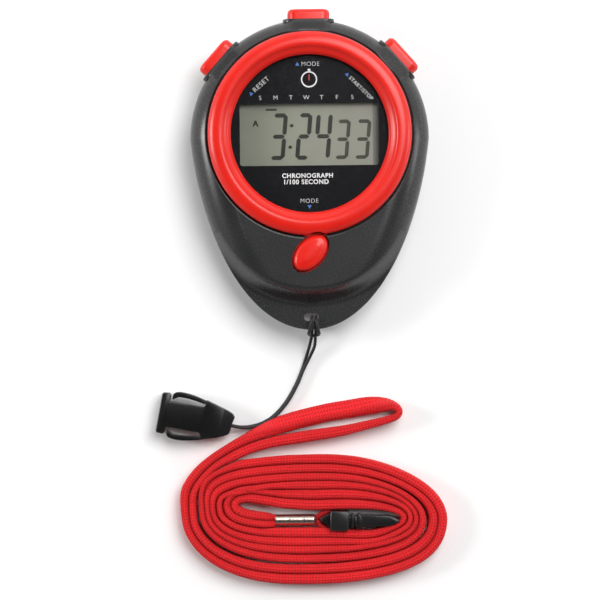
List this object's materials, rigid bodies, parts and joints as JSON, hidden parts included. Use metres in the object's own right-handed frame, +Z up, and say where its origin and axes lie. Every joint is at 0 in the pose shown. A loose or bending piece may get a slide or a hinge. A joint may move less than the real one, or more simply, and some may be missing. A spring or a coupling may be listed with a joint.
{
  "type": "digital stopwatch",
  "caption": "Egg-shaped hand-held digital stopwatch with rim push buttons, an eyelet strap with a release buckle, and a coiled neck lanyard.",
  "frame": {"origin": "on the surface the watch lies on, at the middle of the watch's plan outline without its cords", "axes": "+Z up out of the dial, +Y to twelve o'clock (the mode button), +X to the right of the dial"},
  "size_m": [0.0764, 0.1501, 0.0176],
  "materials": {
    "shell": "fine satin grain",
    "red_plastic": "satin gloss moulded",
    "lens": "clear moulded acrylic",
    "dial_print": "black print with white words",
    "lcd": "grey-green polarised glass with dark segments",
    "reflector": "matte silvered film",
    "white_plastic": "matte",
    "seal_rubber": "matte moulded",
    "board": "solder-masked board",
    "chip_resin": "potting resin",
    "capacitor": "ceramic",
    "steel": "plated",
    "brass": "bright",
    "nickel": "nickel plated, warm tone",
    "buckle": "satin moulded",
    "black_cord": "braided polyester",
    "red_cord": "knitted polyester tube"
  },
  "bodies": {
    "case": {"front_shell": "shell", "rear_shell": "shell", "case_seal": "seal_rubber", "bezel_ring": "red_plastic", "dial_lens": "lens", "dial_plate": "dial_print", "lcd_glass": "lcd", "lcd_reflector": "reflector", "lcd_frame": "white_plastic", "zebra_strip_upper": "seal_rubber", "zebra_strip_lower": "seal_rubber", "main_board": "board", "chip_blob": "chip_resin", "crystal_can": "steel", "capacitor_1": "capacitor", "capacitor_2": "capacitor", "buzzer_disc": "brass", "buzzer_spring": "steel", "battery_cell": "steel", "battery_clip_plus": "steel", "battery_clip_minus": "steel", "case_screw_1": "steel", "case_screw_2": "steel", "case_screw_3": "steel", "case_screw_4": "steel", "board_screw_1": "steel", "board_screw_2": "steel", "board_screw_3": "steel", "board_screw_4": "steel", "start_contact": "brass", "mode_contact": "brass", "reset_contact": "brass", "front_key_dome": "seal_rubber", "strap_cord": "black_cord", "buckle_socket": "buckle", "buckle_plug": "buckle", "lanyard_coil": "red_cord", "lanyard_lead": "red_cord", "lanyard_pair": "red_cord", "lanyard_loop": "red_cord", "lanyard_crimp": "nickel", "lanyard_end_loop": "red_cord"},
    "start_key": {"start_button": "red_plastic"},
    "mode_key": {"mode_button": "red_plastic"},
    "reset_key": {"reset_button": "red_plastic"},
    "front_key": {"front_button": "red_plastic"},
    "upper_arm": {"buckle_lever_upper": "buckle"},
    "lower_arm": {"buckle_lever_lower": "buckle"}
  },
  "joints": [
    {"name": "start_press", "type": "slide", "parent": "case", "child": "start_key", "axis": [-0.749, -0.6626, 0], "range_m": [0, 0.0012], "stiffness_N_per_m": 1200, "deforming": ["start_contact"]},
    {"name": "mode_press", "type": "slide", "parent": "case", "child": "mode_key", "axis": [0, -1, 0], "range_m": [0, 0.0012], "stiffness_N_per_m": 1200, "deforming": ["mode_contact"]},
    {"name": "reset_press", "type": "slide", "parent": "case", "child": "reset_key", "axis": [0.749, -0.6626, 0], "range_m": [0, 0.0012], "stiffness_N_per_m": 1200, "deforming": ["reset_contact"]},
    {"name": "front_press", "type": "slide", "parent": "case", "child": "front_key", "axis": [0, 0, -1], "range_m": [0, 0.0008], "stiffness_N_per_m": 1500, "deforming": ["front_key_dome"]},
    {"name": "upper_arm_squeeze", "type": "hinge", "parent": "case", "child": "upper_arm", "pos_m": [-0.02998, -0.05979, 0.0025], "axis": [0, 0, 1], "range_deg": [0, 7], "stiffness_Nm_per_rad": 0.15},
    {"name": "lower_arm_squeeze", "type": "hinge", "parent": "case", "child": "lower_arm", "pos_m": [-0.03176, -0.06902, 0.0025], "axis": [0, 0, -1], "range_deg": [0, 7], "stiffness_Nm_per_rad": 0.15}
  ]
}
